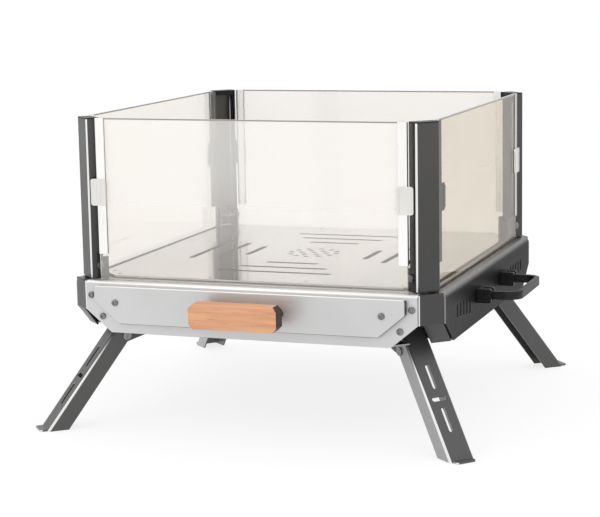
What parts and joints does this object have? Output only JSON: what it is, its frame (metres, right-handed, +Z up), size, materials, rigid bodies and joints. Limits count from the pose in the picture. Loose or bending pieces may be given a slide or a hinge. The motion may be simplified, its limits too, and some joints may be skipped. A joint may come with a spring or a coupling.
{
  "type": "folding fire pit",
  "caption": "Folding tabletop fire pit: shallow sheet steel body with slotted fire plate, ash drawer, glass wind guard on folding posts, folding channel legs and side handles.",
  "frame": {"origin": "on the ground under the middle of the body", "axes": "+Z up, the drawer towards -Y, +X to the right seen from the drawer side"},
  "size_m": [0.562, 0.5513, 0.3747],
  "materials": {
    "brushed_steel": "fine horizontal brushing, satin",
    "side_steel": "dark satin sheet with a light rolled rim",
    "rim_steel": "satin, finely speckled",
    "dark_steel": "dark brushed, bright along the bends",
    "bright_steel": "bright satin",
    "plate_steel": "pale satin",
    "inner_steel": "mill finish",
    "fastener_steel": "plain satin",
    "black_metal": "semi-gloss black",
    "glass": "clear toughened glass with a faint warm cast",
    "wood": "oiled beech-like wood, fine straight grain"
  },
  "bodies": {
    "base": {"front_frame": "brushed_steel", "rear_panel": "brushed_steel", "side_panel_left": "side_steel", "side_panel_right": "side_steel", "bottom_pan": "inner_steel", "rim_frame": "rim_steel", "ash_guide": "inner_steel", "drawer_rails": "inner_steel", "frame_screws": "fastener_steel", "post_pins": "fastener_steel", "leg_pins": "fastener_steel", "bracket_rivets": "inner_steel", "handle_blocks_left": "black_metal", "handle_blocks_right": "black_metal", "handle_pins": "fastener_steel", "corner_column_front_left": "dark_steel", "post_bracket_front_left": "dark_steel", "leg_bracket_front_left": "inner_steel", "corner_column_front_right": "dark_steel", "post_bracket_front_right": "dark_steel", "leg_bracket_front_right": "inner_steel", "corner_column_rear_left": "dark_steel", "post_bracket_rear_left": "dark_steel", "leg_bracket_rear_left": "inner_steel", "corner_column_rear_right": "dark_steel", "post_bracket_rear_right": "dark_steel", "leg_bracket_rear_right": "inner_steel"},
    "drawer": {"drawer_front": "brushed_steel", "drawer_tray": "inner_steel", "tray_ends": "inner_steel", "drawer_screws": "fastener_steel", "wood_handle": "wood", "handle_standoffs": "black_metal"},
    "grate": {"fire_plate": "plate_steel"},
    "corner_post_front_left": {"post_front_left": "dark_steel", "post_cap_front_left": "black_metal"},
    "folding_leg_front_left": {"leg_front_left": "dark_steel"},
    "corner_post_front_right": {"post_front_right": "dark_steel", "post_cap_front_right": "black_metal"},
    "folding_leg_front_right": {"leg_front_right": "dark_steel"},
    "corner_post_rear_left": {"post_rear_left": "dark_steel", "post_cap_rear_left": "black_metal"},
    "folding_leg_rear_left": {"leg_rear_left": "dark_steel"},
    "corner_post_rear_right": {"post_rear_right": "dark_steel", "post_cap_rear_right": "black_metal"},
    "folding_leg_rear_right": {"leg_rear_right": "dark_steel"},
    "pane_front": {"glass_front": "glass", "glass_strips_front": "bright_steel", "glass_tabs_front": "bright_steel"},
    "pane_rear": {"glass_rear": "glass", "glass_strips_rear": "bright_steel", "glass_tabs_rear": "bright_steel"},
    "pane_left": {"glass_left": "glass", "glass_strips_left": "bright_steel", "glass_tabs_left": "bright_steel"},
    "pane_right": {"glass_right": "glass", "glass_strips_right": "bright_steel", "glass_tabs_right": "bright_steel"},
    "grip_left": {"side_handle_left": "black_metal"},
    "grip_right": {"side_handle_right": "black_metal"}
  },
  "joints": [
    {"name": "drawer_slide", "type": "slide", "parent": "base", "child": "drawer", "axis": [0, -1, 0], "range_m": [0, 0.3]},
    {"name": "grate_lift", "type": "slide", "parent": "base", "child": "grate", "axis": [0, 0, 1], "range_m": [0, 0.22]},
    {"name": "pane_front_lift", "type": "slide", "parent": "base", "child": "pane_front", "axis": [0, 0, 1], "range_m": [0, 0.2]},
    {"name": "pane_rear_lift", "type": "slide", "parent": "base", "child": "pane_rear", "axis": [0, 0, 1], "range_m": [0, 0.2]},
    {"name": "pane_left_lift", "type": "slide", "parent": "base", "child": "pane_left", "axis": [0, 0, 1], "range_m": [0, 0.2]},
    {"name": "pane_right_lift", "type": "slide", "parent": "base", "child": "pane_right", "axis": [0, 0, 1], "range_m": [0, 0.2]},
    {"name": "post_front_left_fold", "type": "hinge", "parent": "base", "child": "corner_post_front_left", "pos_m": [-0.20425, -0.20927, 0.1985], "axis": [-0.7071, 0.7071, 0], "range_deg": [0, 90]},
    {"name": "post_front_right_fold", "type": "hinge", "parent": "base", "child": "corner_post_front_right", "pos_m": [0.20425, -0.20927, 0.1985], "axis": [-0.7071, -0.7071, 0], "range_deg": [0, 90]},
    {"name": "post_rear_left_fold", "type": "hinge", "parent": "base", "child": "corner_post_rear_left", "pos_m": [-0.20425, 0.20927, 0.1985], "axis": [0.7071, 0.7071, 0], "range_deg": [0, 90]},
    {"name": "post_rear_right_fold", "type": "hinge", "parent": "base", "child": "corner_post_rear_right", "pos_m": [0.20425, 0.20927, 0.1985], "axis": [0.7071, -0.7071, 0], "range_deg": [0, 90]},
    {"name": "leg_front_left_fold", "type": "hinge", "parent": "base", "child": "folding_leg_front_left", "pos_m": [-0.18303, -0.18576, 0.10877], "axis": [0.6561, -0.7547, 0], "range_deg": [0, 127]},
    {"name": "leg_front_right_fold", "type": "hinge", "parent": "base", "child": "folding_leg_front_right", "pos_m": [0.18303, -0.18576, 0.10877], "axis": [0.6561, 0.7547, 0], "range_deg": [0, 127]},
    {"name": "leg_rear_left_fold", "type": "hinge", "parent": "base", "child": "folding_leg_rear_left", "pos_m": [-0.18303, 0.18576, 0.10877], "axis": [-0.6561, -0.7547, 0], "range_deg": [0, 127]},
    {"name": "leg_rear_right_fold", "type": "hinge", "parent": "base", "child": "folding_leg_rear_right", "pos_m": [0.18303, 0.18576, 0.10877], "axis": [-0.6561, 0.7547, 0], "range_deg": [0, 127]},
    {"name": "grip_left_fold", "type": "hinge", "parent": "base", "child": "grip_left", "pos_m": [-0.241, 0, 0.1525], "axis": [0, -1, 0], "range_deg": [0, 88]},
    {"name": "grip_right_fold", "type": "hinge", "parent": "base", "child": "grip_right", "pos_m": [0.241, 0, 0.1525], "axis": [0, 1, 0], "range_deg": [0, 88]}
  ]
}
